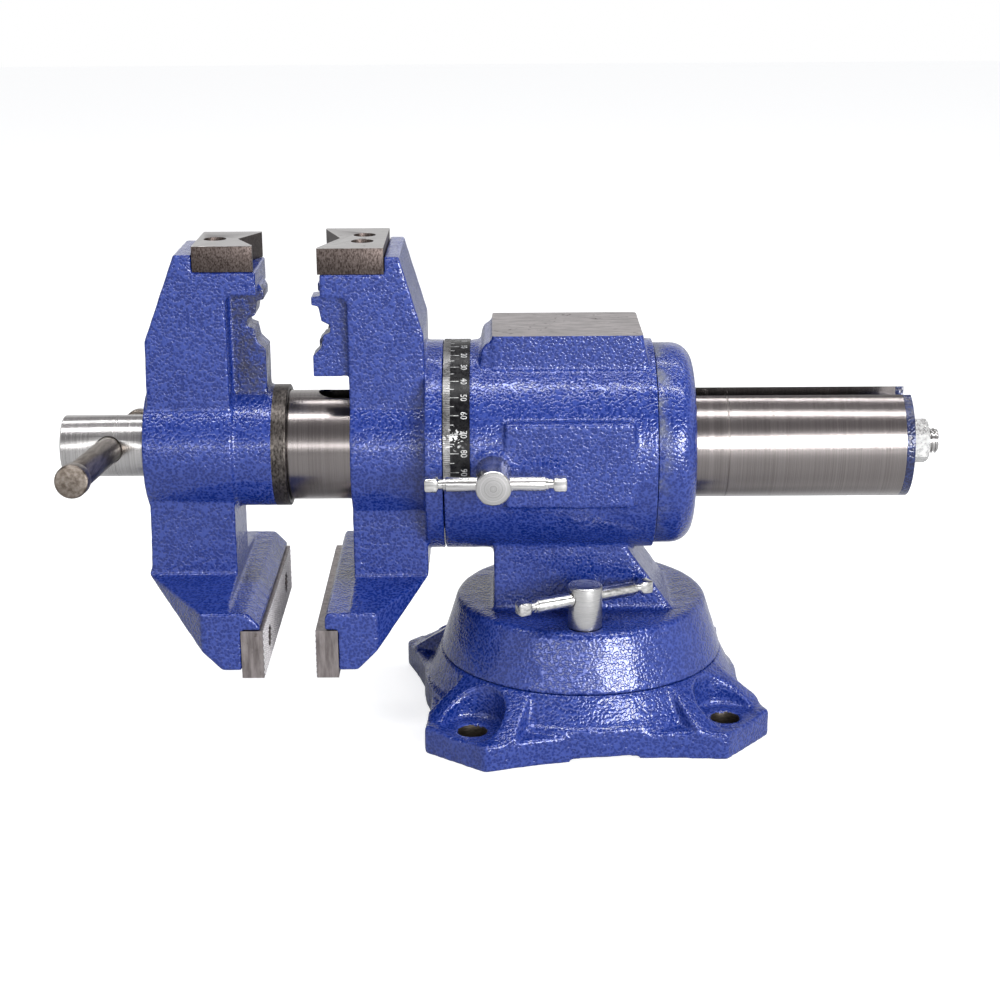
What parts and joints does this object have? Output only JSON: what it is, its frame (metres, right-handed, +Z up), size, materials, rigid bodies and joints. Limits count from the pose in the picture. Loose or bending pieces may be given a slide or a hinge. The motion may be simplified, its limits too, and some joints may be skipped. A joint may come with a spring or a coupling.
{
  "type": "swivel bench vise",
  "caption": "Bench vise with a rotating head that carries flat, V and pipe jaws, on a housing with an anvil and a swivel base with bolt-down ears.",
  "frame": {"origin": "centre of the base plate's bolt circle, on the bench top", "axes": "+Z up from the bench, X along the screw axis with the handle at -X and the rear end of the guide bar at +X"},
  "size_m": [0.4189, 0.1848, 0.2323],
  "materials": {
    "hammered_paint": "blue hammered gloss paint on iron castings",
    "ground_bar": "ground steel with turning marks",
    "turned_steel": "turned steel",
    "zinc_plate": "bright zinc plate",
    "jaw_steel": "dark hardened steel",
    "black_steel": "black oxide",
    "printed_scale": "printed scale strip"
  },
  "bodies": {
    "base": {"base_plate": "hammered_paint", "pivot_pin": "turned_steel"},
    "swivel": {"swivel_housing": "hammered_paint", "degree_scale": "printed_scale", "t_bolt_front": "turned_steel", "t_bolt_rear": "turned_steel", "head_lock_pad": "turned_steel"},
    "head": {"rotating_jaw": "hammered_paint", "rear_cap": "hammered_paint", "cap_screws": "black_steel", "screw_nut": "jaw_steel", "rear_flat_plate": "jaw_steel", "rear_flat_screws": "black_steel", "rear_v_plate": "jaw_steel", "rear_v_screws": "black_steel"},
    "slide": {"moving_jaw": "hammered_paint", "guide_bar": "ground_bar", "bar_end_plate": "hammered_paint", "front_flat_plate": "jaw_steel", "front_flat_screws": "black_steel", "front_v_plate": "jaw_steel", "front_v_screw": "black_steel"},
    "screw": {"main_screw": "turned_steel", "thrust_washer": "turned_steel", "end_washer": "zinc_plate", "end_nut": "zinc_plate"},
    "handle": {"handle_bar": "turned_steel", "handle_ends": "turned_steel"},
    "head_lock": {"head_lock_screw": "zinc_plate"},
    "head_lock_tommy": {"head_lock_bar": "zinc_plate"},
    "base_lock_front": {"base_lock_nut_front": "zinc_plate"},
    "base_lock_front_tommy": {"base_lock_bar_front": "zinc_plate"},
    "base_lock_rear": {"base_lock_nut_rear": "zinc_plate"},
    "base_lock_rear_tommy": {"base_lock_bar_rear": "zinc_plate"}
  },
  "joints": [
    {"name": "base_swivel", "type": "hinge", "parent": "base", "child": "swivel", "pos_m": [0, 0, 0], "axis": [0, 0, 1], "continuous": true},
    {"name": "head_roll", "type": "hinge", "parent": "swivel", "child": "head", "pos_m": [0, 0, 0.1327], "axis": [1, 0, 0], "continuous": true},
    {"name": "jaw_slide", "type": "slide", "parent": "head", "child": "slide", "axis": [-1, 0, 0], "range_m": [-0.023, 0.1017]},
    {"name": "screw_turn", "type": "hinge", "parent": "slide", "child": "screw", "pos_m": [0, 0, 0.1327], "axis": [-1, 0, 0], "range_deg": [-1660, 7330]},
    {"name": "handle_slide", "type": "slide", "parent": "screw", "child": "handle", "axis": [0, -0.9945, 0.1045], "range_m": [-0.0718, 0.048]},
    {"name": "head_lock_turn", "type": "hinge", "parent": "swivel", "child": "head_lock", "pos_m": [-0.0423, 0, 0.1327], "axis": [0, -1, 0], "range_deg": [-90, 90]},
    {"name": "head_lock_bar_slide", "type": "slide", "parent": "head_lock", "child": "head_lock_tommy", "axis": [1, 0, 0], "range_m": [0, 0.016]},
    {"name": "base_lock_front_turn", "type": "hinge", "parent": "swivel", "child": "base_lock_front", "pos_m": [0, -0.0496, 0], "axis": [0, 0, 1], "range_deg": [-45, 4]},
    {"name": "base_lock_front_bar_slide", "type": "slide", "parent": "base_lock_front", "child": "base_lock_front_tommy", "axis": [-0.891, -0.454, 0], "range_m": [0, 0.0205]},
    {"name": "base_lock_rear_turn", "type": "hinge", "parent": "swivel", "child": "base_lock_rear", "pos_m": [0, 0.0496, 0], "axis": [0, 0, 1], "range_deg": [-45, 4]},
    {"name": "base_lock_rear_bar_slide", "type": "slide", "parent": "base_lock_rear", "child": "base_lock_rear_tommy", "axis": [0.891, 0.454, 0], "range_m": [0, 0.0205]}
  ],
  "couplings": [
    {"joint": "screw_turn", "follows": "jaw_slide", "rad_per_m": 1256.6}
  ]
}
